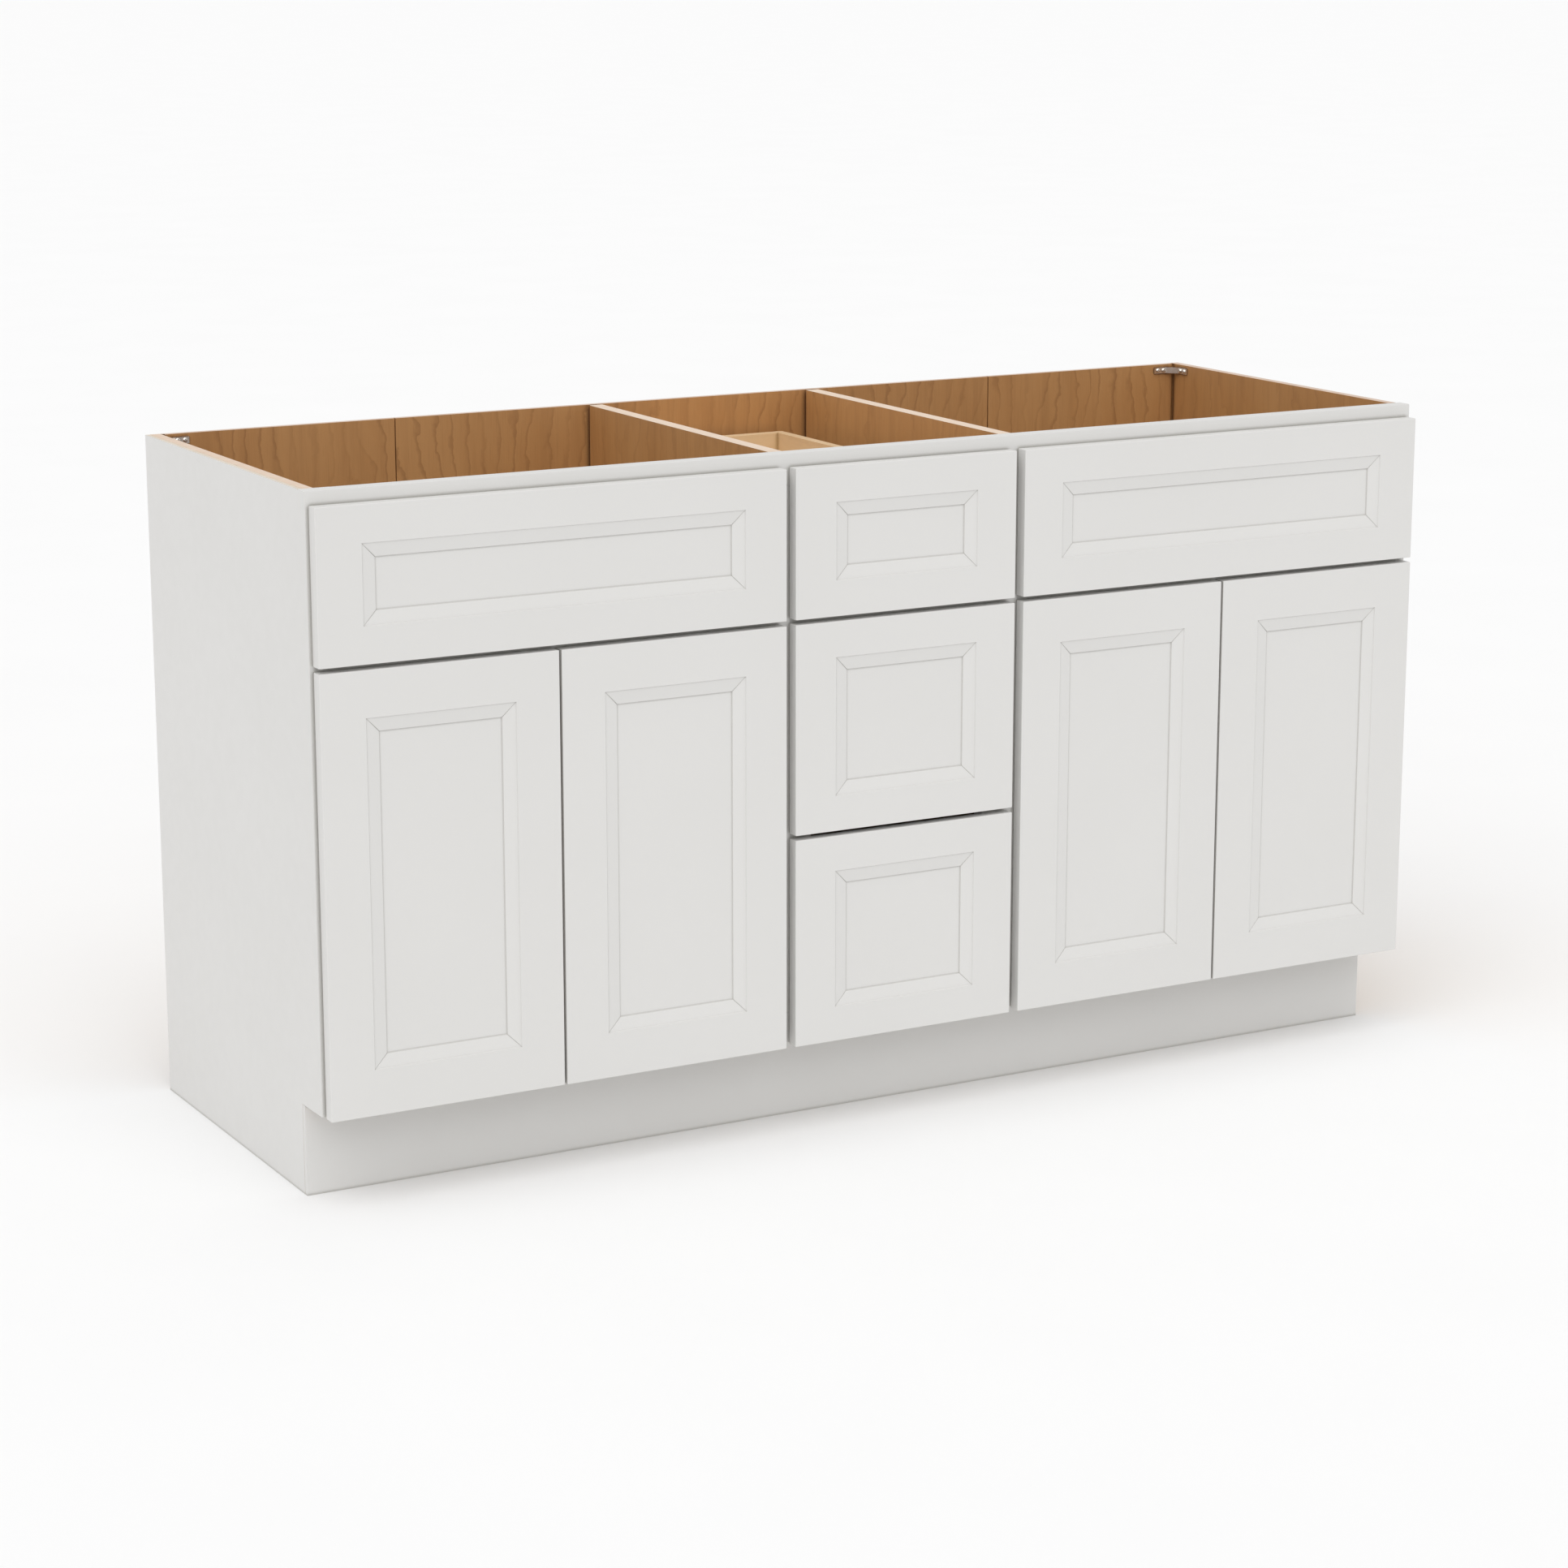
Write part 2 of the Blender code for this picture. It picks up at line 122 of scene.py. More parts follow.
BRACKET_SHEET = 0.0018
BRACKET_CHAMFER = 0.014
BRACKET_BEND = 0.004
BRACKET_SCREW = (0.0029, 0.0018)        # radius and height of a head
BRACKET_SCREW_SHARES = (0.55, 0.84)     # places along a leg

STAPLE_PROUD = 0.0004
STAPLE_HALF_CROWN = 0.0055
STAPLE_HALF_WIRE = 0.0006
STAPLE_COLUMNS = 13      # along the bottom of the back
STAPLE_ROWS = 6          # up each of its upright lines
STAPLE_SPAN_INSET = 0.040               # of the bottom line's ends from the back's sides
STAPLE_SIDE_INSET = 0.008               # of the outer upright lines from the back's sides
STAPLE_START = 0.080     # of the upright lines above the back's lower edge
STAPLE_STOP = 0.050      # and below its upper edge
STAPLE_DECK_RISE = 0.006                # above the deck's underside
STAPLE_EASE = 0.0002

BUMPER_RADIUS = 0.0042
BUMPER_RISE = 0.0012
BUMPER_INSET = 0.013
BUMPER_DROP = 0.030      # from a drawer front's top and bottom
BUMPER_DOME = ((1.0, 0.0), (1.0, 0.25), (0.86, 0.62), (0.6, 0.86), (0.25, 0.98))    # shares of radius, rise

PAINTED_SHADE_REACH = 0.0055   # how near another surface the painted shade reaches into the paint
WOOD_PAINTED_SHADE_REACH = 0.008              # how far the painted shade reaches on stained and lacquered wood

ROUND = 32               # sides of round pieces
SCREW = (0.0038, 0.0021)                # radius and height of a head, where nothing else is said
# (share of the head's radius, share of its height) round the head, and down its recess
SCREW_HEAD = ((1.0, 0.0), (1.0, 0.35), (0.93, 0.66), (0.80, 0.88), (0.68, 1.0))
SCREW_RECESS = ((1.0, 1.0), (0.55, 0.25))
CROSS_ARM = 0.62         # of the head's radius, for the recess
CROSS_HALF_WIDTH = 0.13

# ---- View and light -----------------------------------------------------------------------------

VIEW_AZIMUTH = math.radians(-28.895)
VIEW_ELEVATION = math.radians(13.188)
VIEW_DISTANCE = 4.844
LENS = 87.24
AIM = Vector((-0.0225, -0.0005, 0.3682))

WORLD_LIGHT = 0.70
KEY_LIGHT = 1.50
KEY_ANGLE = math.radians(70)
KEY_FROM = Vector((-0.46, -0.66, 1.24))
FLOOR_REACH = 60.0       # from the middle to each side

# ---- Node helpers -------------------------------------------------------------------------------


def add_node(tree, kind, inputs=None, **settings):
    """A shader node. An input is a socket to link or a value to set, by name or by index."""
    node = tree.nodes.new(kind)
    for name, value in settings.items():
        setattr(node, name, value)
    for key, value in (inputs or {}).items():
        if isinstance(value, bpy.types.NodeSocket):
            tree.links.new(value, node.inputs[key])
        else:
            node.inputs[key].default_value = value
    return node


def math_node(tree, operation, a, b=0.0, clamp=False):
    node = add_node(tree, "ShaderNodeMath", {0: a, 1: b}, operation=operation)
    node.use_clamp = clamp
    return node.outputs[0]


def mix_colors(tree, factor, a, b, blend="MIX"):
    node = add_node(tree, "ShaderNodeMix", {0: factor, 6: a, 7: b}, data_type="RGBA", blend_type=blend)
    return node.outputs[2]


def noise(tree, vector, scale, detail=3.0, roughness=0.5, distortion=0.0):
    inputs = {
        "Vector": vector, "Scale": scale, "Detail": detail, "Roughness": roughness,
        "Distortion": distortion,
    }
    return add_node(tree, "ShaderNodeTexNoise", inputs).outputs["Fac"]


def stretch(tree, vector, scale):
    return add_node(tree, "ShaderNodeMapping", {"Vector": vector, "Scale": scale}).outputs[0]


def remap(tree, value, low, high, to_low=0.0, to_high=1.0):
    inputs = {0: value, 1: low, 2: high, 3: to_low, 4: to_high}
    return add_node(tree, "ShaderNodeMapRange", inputs, interpolation_type="SMOOTHSTEP").outputs[0]


def bump(tree, height, distance, strength=1.0, normal=None):
    inputs = {"Height": height, "Distance": distance, "Strength": strength}
    if normal:
        inputs["Normal"] = normal
    return add_node(tree, "ShaderNodeBump", inputs).outputs[0]


def new_material(name):
    """(material, its node tree, its Principled shader, its object coordinates in metres)"""
    material = bpy.data.materials.new(name)
    material.use_nodes = True
    tree = material.node_tree
    shader = tree.nodes["Principled BSDF"]
    place = tree.nodes.new("ShaderNodeTexCoord").outputs["Object"]
    return material, tree, shader, place


def connect(tree, shader, **sockets):
    for name, socket in sockets.items():
        tree.links.new(socket, shader.inputs[name.replace("_", " ")])


# ---- Finishes -----------------------------------------------------------------------------------


def painted_corner_shade(tree, reach):
    """Mask of painted shade: 1 in an open inside corner, falling to 0 at a distance and inside a narrow
    gap.
    """
    openness = add_node(tree, "ShaderNodeAmbientOcclusion", {"Distance": reach}, samples=8).outputs["AO"]
    near = remap(tree, openness, 0.50, 0.98, 1.0, 0.0)
    return math_node(tree, "MULTIPLY", near, remap(tree, openness, 0.22, 0.48))


def satin_paint():
    """Sprayed off-white paint: a faint drift in tone, orange peel, and painted shade in the inside corners.
    """
    material, tree, shader, place = new_material("white_paint")
    drift = noise(tree, place, 5.0, 2.0)
    speckle = noise(tree, place, 900.0, 2.0)
    tone = mix_colors(tree, drift, (0.688, 0.680, 0.662, 1), (0.712, 0.704, 0.688, 1))
    tone = mix_colors(tree, math_node(tree, "MULTIPLY", speckle, 0.06), tone, (0.60, 0.59, 0.565, 1))
    # painted shade: the paint turns darker grey in inside corners, where another surface is near
    tone = mix_colors(tree, painted_corner_shade(tree, PAINTED_SHADE_REACH), tone, (0.46, 0.45, 0.42, 1))
    peel = noise(tree, place, 420.0, 2.0)
    normal = bump(tree, peel, 0.00005, 0.5)
    gloss = remap(tree, noise(tree, place, 60.0, 3.0), 0.3, 0.7, 0.34, 0.44)
    connect(tree, shader, Base_Color=tone, Roughness=gloss, Normal=normal)
    return material


def grain_space(tree, place, across, along):
    """Coordinates turned so that X runs across the grain and Y along it."""
    axes = add_node(tree, "ShaderNodeSeparateXYZ", {0: place}).outputs
    through = ({"X", "Y", "Z"} - {across, along}).pop()
    order = {0: axes[across], 1: axes[along], 2: axes[through]}
    return add_node(tree, "ShaderNodeCombineXYZ", order).outputs[0]


def growth_lines(tree, space, lines):
    """(dark lines, light bands beside them): masks that repeat across the grain and waver along it."""
    across = add_node(tree, "ShaderNodeSeparateXYZ", {0: space}).outputs[0]
    drift = noise(tree, stretch(tree, space, (8.0, 6.0, 2.0)), 1.0, 1.0, 0.4)
    sway = noise(tree, stretch(tree, space, (24.0, 11.0, 9.0)), 1.0, 2.0, 0.5)
    curl = noise(tree, stretch(tree, space, (80.0, 50.0, 30.0)), 1.0, 2.0, 0.55)
    phase = math_node(tree, "MULTIPLY", across, lines)
    for wave, amount in ((drift, 3.4), (sway, 1.6), (curl, 0.6)):
        phase = math_node(tree, "ADD", phase, math_node(tree, "MULTIPLY", wave, amount))
    saw = math_node(tree, "FRACT", phase)
    strength = noise(tree, stretch(tree, space, (14.0, 7.0, 8.0)), 1.0, 2.0)
    line = math_node(tree, "MULTIPLY", remap(tree, saw, 0.70, 0.96), remap(tree, saw, 0.96, 1.0, 1.0, 0.0))
    line = math_node(tree, "MULTIPLY", line, remap(tree, strength, 0.36, 0.62, 0.25, 1.0))
    band = math_node(tree, "MULTIPLY", remap(tree, saw, 0.0, 0.05), remap(tree, saw, 0.08, 0.50, 1.0, 0.0))
    return line, band


def wood(
    name, across, along, colors, lines=42.0, figure=0.40, pores=0.25, roughness=(0.42, 0.55), corner=None,
    leaf=0.0,
):
    """Sliced veneer with growth lines, so many to the metre, as strong as figure says.

    colors are (dark line, ground, light band). corner is the tone of the painted shade laid into inside
    corners.
    leaf is how far away in the log the sheet was cut, so that sheets side by side differ.
    """
    material, tree, shader, place = new_material(name)
    dark, ground, light = [(*color, 1) for color in colors]
    move = {"Vector": place, "Location": (leaf, leaf, leaf)}
    in_log = add_node(tree, "ShaderNodeMapping", move).outputs[0]
    space = grain_space(tree, in_log, across, along)
    line, band = growth_lines(tree, space, lines)
    streak = noise(tree, stretch(tree, space, (70.0, 3.0, 30.0)), 1.0, 4.0, 0.6)
    fiber = noise(tree, stretch(tree, space, (900.0, 24.0, 300.0)), 1.0, 3.0, 0.6)
    cloud = noise(tree, stretch(tree, space, (9.0, 4.0, 5.0)), 1.0, 3.0, 0.5)
    tone = mix_colors(tree, remap(tree, cloud, 0.3, 0.7, 0.0, 0.55), ground, light)
    tone = mix_colors(tree, math_node(tree, "MULTIPLY", band, figure * 0.55), tone, light)
    tone = mix_colors(tree, math_node(tree, "MULTIPLY", remap(tree, streak, 0.42, 0.75), 0.20), tone, dark)
    tone = mix_colors(tree, math_node(tree, "MULTIPLY", line, figure), tone, dark)
    tone = mix_colors(tree, math_node(tree, "MULTIPLY", remap(tree, fiber, 0.55, 0.80), pores), tone, dark)
    if corner:
        # painted shade: the wood turns to the corner tone in inside corners, where another surface is near
        tone = mix_colors(tree, painted_corner_shade(tree, WOOD_PAINTED_SHADE_REACH), tone, (*corner, 1))
    gloss = remap(tree, fiber, 0.3, 0.7, *roughness)
    normal = bump(tree, fiber, 0.00006, 0.6)
    connect(tree, shader, Base_Color=tone, Roughness=gloss, Normal=normal)
    return material


def sawn_edge(name, through, colors, plies=0.0022):
    """A plywood edge: plies of alternating tone across the sheet, with torn fibres."""
    material, tree, shader, place = new_material(name)
    dark, light = [(*color, 1) for color in colors]
    axes = add_node(tree, "ShaderNodeSeparateXYZ", {0: place}).outputs
    waver = noise(tree, place, 35.0, 2.0)
    depth = math_node(tree, "ADD", math_node(tree, "DIVIDE", axes[through], plies),
                      math_node(tree, "MULTIPLY", waver, 0.5))
    ply = math_node(tree, "ABSOLUTE", math_node(tree, "SUBTRACT", math_node(tree, "FRACT", depth), 0.5))
    ply = remap(tree, ply, 0.18, 0.32)
    fibers = noise(tree, place, 1400.0, 3.0, 0.65)
    blotch = noise(tree, place, 60.0, 3.0)
    share = math_node(tree, "ADD", math_node(tree, "MULTIPLY", ply, 0.25),
                      math_node(tree, "MULTIPLY", blotch, 0.60))
    tone = mix_colors(tree, share, dark, light)
    tone = mix_colors(tree, math_node(tree, "MULTIPLY", remap(tree, fibers, 0.55, 0.8), 0.22), tone, dark)
    connect(tree, shader, Base_Color=tone, Normal=bump(tree, fibers, 0.00012, 0.7))
    shader.inputs["Roughness"].default_value = 0.72
    return material


def plated_steel(name, color, tint, roughness, streaks):
    """Plated sheet steel: uneven gloss, faint streaks from rolling and small clouds in the plating."""
    material, tree, shader, place = new_material(name)
    cloud = noise(tree, place, 120.0, 3.0)
    rolled = noise(tree, stretch(tree, place, streaks), 1.0, 3.0, 0.6)
    tone = mix_colors(tree, remap(tree, cloud, 0.35, 0.7), (*color, 1), (*tint, 1))
    gloss = math_node(tree, "ADD", remap(tree, rolled, 0.3, 0.7, -0.04, 0.05),
                      remap(tree, cloud, 0.3, 0.7, roughness - 0.03, roughness + 0.04))
    connect(tree, shader, Base_Color=tone, Roughness=gloss, Normal=bump(tree, rolled, 0.000012, 0.6))
    shader.inputs["Metallic"].default_value = 1.0
    return material


def soft_plastic():
    """The clear vinyl of the bumpers, clouded by dust."""
    material, tree, shader, place = new_material("bumper_vinyl")
    dust = noise(tree, place, 700.0, 3.0)
    tone = mix_colors(tree, dust, (0.62, 0.62, 0.60, 1), (0.78, 0.78, 0.76, 1))
    connect(tree, shader, Base_Color=tone, Roughness=remap(tree, dust, 0.3, 0.7, 0.25, 0.40))
    shader.inputs["Specular IOR Level"].default_value = 0.6
    return material


# Wood tones are (dark line, ground, light band), and edge tones are (dark ply, light ply).
STAIN = ((0.230, 0.098, 0.031), (0.480, 0.240, 0.085), (0.560, 0.302, 0.118))
# painted shade: the dark tone laid into the inside corners of the stained wood
STAIN_PAINTED_SHADE = (0.110, 0.045, 0.014)
NATURAL = ((0.46, 0.28, 0.14), (0.66, 0.47, 0.29), (0.72, 0.54, 0.36))
LACQUER = ((0.54, 0.35, 0.195), (0.735, 0.54, 0.325), (0.785, 0.597, 0.37))
# painted shade: the tone laid into the inside corners of the lacquered drawer boxes
LACQUER_PAINTED_SHADE = (0.49, 0.34, 0.17)
PEACH_EDGE = ((0.62, 0.45, 0.33), (0.84, 0.72, 0.61))
CREAM_EDGE = ((0.58, 0.44, 0.35), (0.72, 0.58, 0.48))
PALE_EDGE = ((0.695, 0.545, 0.43), (0.825, 0.69, 0.56))
FIBER_EDGE = ((0.58, 0.50, 0.41), (0.78, 0.71, 0.62))

BACK_LEAVES = {"left": 0.0, "center": 1.7, "right": 3.1}
UNFINISHED = {"figure": 0.30, "roughness": (0.60, 0.75)}
# (board, axis across the grain, axis along it, growth lines to the metre)
DRAWER_GRAIN = (("side", "Z", "Y", 30.0), ("end", "Z", "X", 30.0), ("floor", "X", "Y", 36.0))

PAINT = satin_paint()
STAINED = {
    name: wood(f"stained_maple_{name}", "X", "Z", STAIN, corner=STAIN_PAINTED_SHADE, leaf=leaf)
    for name, leaf in BACK_LEAVES.items()
}
STAINED["side"] = wood(
    "stained_maple_side", "Y", "Z", STAIN, lines=26.0, figure=0.22, corner=STAIN_PAINTED_SHADE)
STAINED["deck"] = wood("stained_maple_deck", "Y", "X", STAIN, corner=STAIN_PAINTED_SHADE)
RAW_PLY = {
    name: wood(f"raw_ply_{name}", "X", "Z", NATURAL, leaf=leaf, **UNFINISHED)
    for name, leaf in BACK_LEAVES.items()
}
RAW_PLY["side"] = wood("raw_ply_side", "Y", "Z", NATURAL, leaf=5.3, **UNFINISHED)
RAW_PLY["deck"] = wood("raw_ply_deck", "Y", "X", NATURAL, **UNFINISHED)
MAPLE = {
    name: wood(
        f"drawer_maple_{name}", across, along, LACQUER, lines=lines, figure=0.25, pores=0.15,
        corner=LACQUER_PAINTED_SHADE)
    for name, across, along, lines in DRAWER_GRAIN
}
EDGE = {axis: sawn_edge(f"ply_edge_{axis.lower()}", axis, CREAM_EDGE) for axis in "XYZ"}
PALE = sawn_edge("partition_edge", "X", PALE_EDGE)
PEACH = sawn_edge("core_edge", "X", PEACH_EDGE)
FIBER = sawn_edge("fiberboard_edge", "X", FIBER_EDGE, plies=0.009)
ZINC = plated_steel("zinc_plate", (0.865, 0.828, 0.782), (0.915, 0.882, 0.838), 0.32, (300.0, 20.0, 300.0))
NICKEL = plated_steel("nickel_plate", (0.66, 0.65, 0.63), (0.74, 0.73, 0.71), 0.24, (60.0, 60.0, 700.0))
VINYL = soft_plastic()

# ---- Mesh helpers -------------------------------------------------------------------------------


def faces_round(verts):
    """The faces that meet at some vertices, always in the same order."""
    return list(dict.fromkeys(face for vert in verts for face in vert.link_faces))


def side_of(face):
    """The name of the direction that a face looks in, such as "+X"."""
    axis = max(range(3), key=lambda i: abs(face.normal[i]))
    return ("+" if face.normal[axis] > 0 else "-") + "XYZ"[axis]


class Shape:
    """One piece under construction: closed solids, each with its finishes."""

    def __init__(self):
        self.bm = bmesh.new()
        self.finishes = []

    def index(self, finish):
        if finish not in self.finishes:
            self.finishes.append(finish)
        return self.finishes.index(finish)

    def close(self, faces, finish, sides=None, ease=0.0, square=(), segments=2):
        """Turns new faces outward, paints them and rounds their sharp edges.

        sides gives some directions another finish. Edges of the square directions aren't rounded.
        """
        bmesh.ops.recalc_face_normals(self.bm, faces=faces)
        names = {}
        for face in faces:
            names[face] = side_of(face)
            face.material_index = self.index((sides or {}).get(names[face], finish))
        if ease:
            edges = dict.fromkeys(edge for face in faces for edge in face.edges)
            rounded = [
                edge for edge in edges
                if edge.calc_face_angle(0.0) > SHARP_ANGLE
                and not any(names[face] in square for face in edge.link_faces)
            ]
            bmesh.ops.bevel(
                self.bm, geom=rounded, offset=ease, segments=segments, profile=0.5, affect="EDGES",
                clamp_overlap=True)

    def board(self, low, high, finish, **options):
        """A box between two corners. options are those of close().

        Rounded edges take the finish with the lowest index, so the box's own finish is counted first.
        """
        self.index(finish)
        made = bmesh.ops.create_cube(self.bm, size=1.0)["verts"]
        bmesh.ops.scale(self.bm, vec=high - low, verts=made)
        bmesh.ops.translate(self.bm, vec=(low + high) / 2, verts=made)
        self.close(faces_round(made), finish, **{"ease": EASE, **options})

    def prism(self, outline, along, start, end, finish, **options):
        """An outline of (y, z), (x, z) or (x, y) pairs, extruded along X, Y or Z."""
        order = {"X": (2, 0, 1), "Y": (0, 2, 1), "Z": (0, 1, 2)}[along]
        points = [[(a, b, start)[i] for i in order] for a, b in outline]
        travel = Vector([(0, 0, end - start)[i] for i in order])
        first = [self.bm.verts.new(point) for point in points]
        last = [self.bm.verts.new(Vector(point) + travel) for point in points]
        faces = [self.bm.faces.new(first), self.bm.faces.new(list(reversed(last)))]
        for i in range(len(first)):
            j = (i + 1) % len(first)
            faces.append(self.bm.faces.new((first[i], last[i], last[j], first[j])))
        self.close(faces, finish, **options)

    def sheet(self, path, radius, thickness, along, start, end, finish):
        """Bent sheet metal: a strip round a path with rounded bends, extruded along an axis."""
        line = rounded_path(path, radius)
        outline = offset_line(line, thickness / 2) + list(reversed(offset_line(line, -thickness / 2)))
        self.prism(outline, along, start, end, finish)

    def loft(self, rings, finish, **options):
        """A closed solid through rings of points, with a flat cap at each end."""
        loops = [[self.bm.verts.new(point) for point in ring] for ring in rings]
        faces = [self.bm.faces.new(loops[0]), self.bm.faces.new(list(reversed(loops[-1])))]
        for lower, upper in zip(loops, loops[1:]):
            for i in range(len(lower)):
                j = (i + 1) % len(lower)
                faces.append(self.bm.faces.new((lower[i], lower[j], upper[j], upper[i])))
        self.close(faces, finish, **options)

    def standing(self, place, direction, rings, finish):
        """A loft through rings round the Z axis, turned to a direction and moved to its place."""
        turn = Vector(direction).to_track_quat("Z", "Y").to_matrix()
        self.loft([[place + turn @ point for point in ring] for ring in rings], finish)

    def turned(self, place, direction, profile, finish, sides=ROUND):
        """A turned solid. profile is (radius, height) pairs from one end to the other."""
        rings = [circle(radius, height, sides) for radius, height in profile]
        self.standing(place, direction, rings, finish)

    def ball(self, place, radius, finish):
        move = Matrix.Translation(place)
        made = bmesh.ops.create_icosphere(self.bm, subdivisions=2, radius=radius, matrix=move)["verts"]
        self.close(faces_round(made), finish)

    def screw(self, place, direction, radius=SCREW[0], height=SCREW[1], finish=ZINC):
        """A pan head with a cross recess, standing on a surface."""
        rings = [circle(radius * share, height * rise) for share, rise in SCREW_HEAD]
        rings += [cross(radius, share, height * rise) for share, rise in SCREW_RECESS]
        self.standing(place, direction, rings, finish)

    def piece(self, name, body, replaces=()):
        """The finished piece, riding on its body."""
        for edge in self.bm.edges:
            edge.smooth = edge.calc_face_angle(0.0) < SHARP_ANGLE
        for face in self.bm.faces:
            face.smooth = True
        mesh = bpy.data.meshes.new(name)
        self.bm.to_mesh(mesh)
        self.bm.free()
        for finish in self.finishes:
            mesh.materials.append(finish)
        thing = bpy.data.objects.new(name, mesh)
        bpy.context.scene.collection.objects.link(thing)
        weighted = thing.modifiers.new("flat_faces", "WEIGHTED_NORMAL")
        weighted.keep_sharp = True
        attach(thing, body)
        if replaces:
            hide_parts(*replaces)
        return thing


def circle(radius, level, sides=ROUND):
    """Points round the Z axis."""
    angles = [math.tau * i / sides for i in range(sides)]
    return [Vector((math.cos(a) * radius, math.sin(a) * radius, level)) for a in angles]


def cross(radius, share, level):
    """As many points round the cross in a screw head of a radius. share makes it smaller."""
    points = []
    for point in circle(1.0, 0.0):
        narrow = max(min(abs(point.x), abs(point.y)), 1e-6)
        reach = min(CROSS_ARM, CROSS_HALF_WIDTH / narrow) * radius * share
        points.append(Vector((point.x * reach, point.y * reach, level)))
    return points


def rounded_path(points, radius, steps=4):
    """An open line with each corner replaced by an arc."""
    points = [Vector(point) for point in points]
    line = [points[0]]
    for before, corner, after in zip(points, points[1:], points[2:]):
        to_before = (before - corner).normalized()
        to_after = (after - corner).normalized()
        half = to_before.angle(to_after) / 2
        reach = radius / math.tan(half)
        center = corner + (to_before + to_after).normalized() * (radius / math.sin(half))
        spoke = corner + to_before * reach - center
        turn = spoke.angle_signed(corner + to_after * reach - center)
        for i in range(steps + 1):
            line.append(center + Matrix.Rotation(-turn * i / steps, 2) @ spoke)
    line.append(points[-1])
    return line


def offset_line(line, distance):
    """A line moved sideways, with its corners kept at their true distance."""
    moved = []
    for i, point in enumerate(line):
        before = (point - line[i - 1]).normalized() if i else None
        after = (line[i + 1] - point).normalized() if i + 1 < len(line) else None
        normals = [Vector((-way.y, way.x)) for way in (before, after) if way]
        middle = sum(normals, Vector((0, 0))).normalized()
        moved.append(point + middle * (distance / max(middle.dot(normals[0]), 0.5)))
    return moved


def corners(node):
    """(low, high) of a CAD node."""
    low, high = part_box(node)
    return low.copy(), high.copy()


# ---- Case ---------------------------------------------------------------------------------------


def side_outline(node):
    """(y, z) outline of an end panel, with the toe notch."""
    low, high = corners(node)
    toe = corners("toe_kick_board")[1]
    notch_y = toe.y + GAP
    notch_z = toe.z + GAP
    return [(notch_y, low.z), (high.y, low.z), (high.y, high.z), (low.y, high.z), (low.y, notch_z),
            (notch_y, notch_z)]


def build_ends():
    """The left end is finished: its painted skin meets the stile tightly, so the joint doesn't show."""
    outline = side_outline("left_side_panel")
    low, high = corners("left_side_panel")
    split = low.x + SKIN_THICKNESS
    skin_outline = [(y - GAP if y == low.y else y, z) for y, z in outline]
    skin = Shape()
    skin.prism(skin_outline, "X", low.x, split - GAP / 3, FIBER, sides={"-X": PAINT}, ease=RAW_EASE,
               square=("-Y",))
    skin.piece("left_end_skin", "cabinet")
    core = Shape()
    core_sides = {"+X": STAINED["side"], "-X": RAW_PLY["side"]}
    core.prism(outline, "X", split, high.x, PEACH, sides=core_sides, ease=RAW_EASE)
    core.piece("left_side_core", "cabinet", ["left_side_panel"])

    low, high = corners("right_side_panel")
    end = Shape()
    end_sides = {"-X": STAINED["side"], "+X": RAW_PLY["side"]}
    outline = side_outline("right_side_panel")
    end.prism(outline, "X", low.x, high.x, EDGE["X"], sides=end_sides, ease=RAW_EASE)
    end.piece("right_side", "cabinet", ["right_side_panel"])


def back_outline(low, high, left_rebate, right_rebate):
    """(x, y) outline of a sheet of the back: a fine rebate along both ends inside, a chamfer outside."""
    floor_y = low.y + REBATE_DEPTH
    return [
        (low.x + left_rebate, low.y), (high.x - right_rebate, low.y), (high.x - right_rebate, floor_y),
        (high.x, floor_y), (high.x, high.y - SEAM_CHAMFER), (high.x - SEAM_CHAMFER, high.y),
        (low.x + SEAM_CHAMFER, high.y), (low.x, high.y - SEAM_CHAMFER), (low.x, floor_y),
        (low.x + left_rebate, floor_y),
    ]


def build_partitions():
    veneer = STAINED["side"]
    for name in ("left_partition", "right_partition"):
        low, high = corners(name)
        high.y -= REAR_CLEARANCE
        shape = Shape()
        shape.board(low, high, PALE, sides={"-X": veneer, "+X": veneer}, ease=RAW_EASE)
        shape.piece(f"{name}_board", "cabinet", [name])


def build_back():
    """Three sheets that meet tightly, with a fine groove at each seam and a wider one at each end."""
    rebates = {
        "left": (CORNER_REBATE, SEAM_REBATE), "center": (SEAM_REBATE, SEAM_REBATE),
        "right": (SEAM_REBATE, CORNER_REBATE),
    }
    for name, (left_rebate, right_rebate) in rebates.items():
        low, high = corners(f"back_panel_{name}")
        high.y -= STAPLE_PROUD
        if name != "left":
            low.x -= GAP / 2
        if name != "right":
            high.x += GAP / 2
        shape = Shape()
        veneer = STAINED[name]
        sides = {"-Y": veneer, "+Y": RAW_PLY[name], "+X": veneer, "-X": veneer}
        outline = back_outline(low, high, left_rebate, right_rebate)
        shape.prism(outline, "Z", low.z, high.z, EDGE["Y"], sides=sides)
        shape.piece(f"back_{name}_sheet", "cabinet", [f"back_panel_{name}"])


def build_deck_and_toe_kick():
    low, high = corners("bottom_panel")
    shape = Shape()
    sides = {"+Z": STAINED["deck"], "-Z": RAW_PLY["deck"]}
    shape.board(low, high, EDGE["Z"], sides=sides, ease=RAW_EASE)
    shape.piece("bottom_deck", "cabinet", ["bottom_panel"])
    low, high = corners("toe_kick_board")
    shape = Shape()
    shape.board(low, high, PAINT, sides={"+Y": RAW_PLY["center"]}, ease=RAW_EASE)
    shape.piece("toe_kick", "cabinet", ["toe_kick_board"])


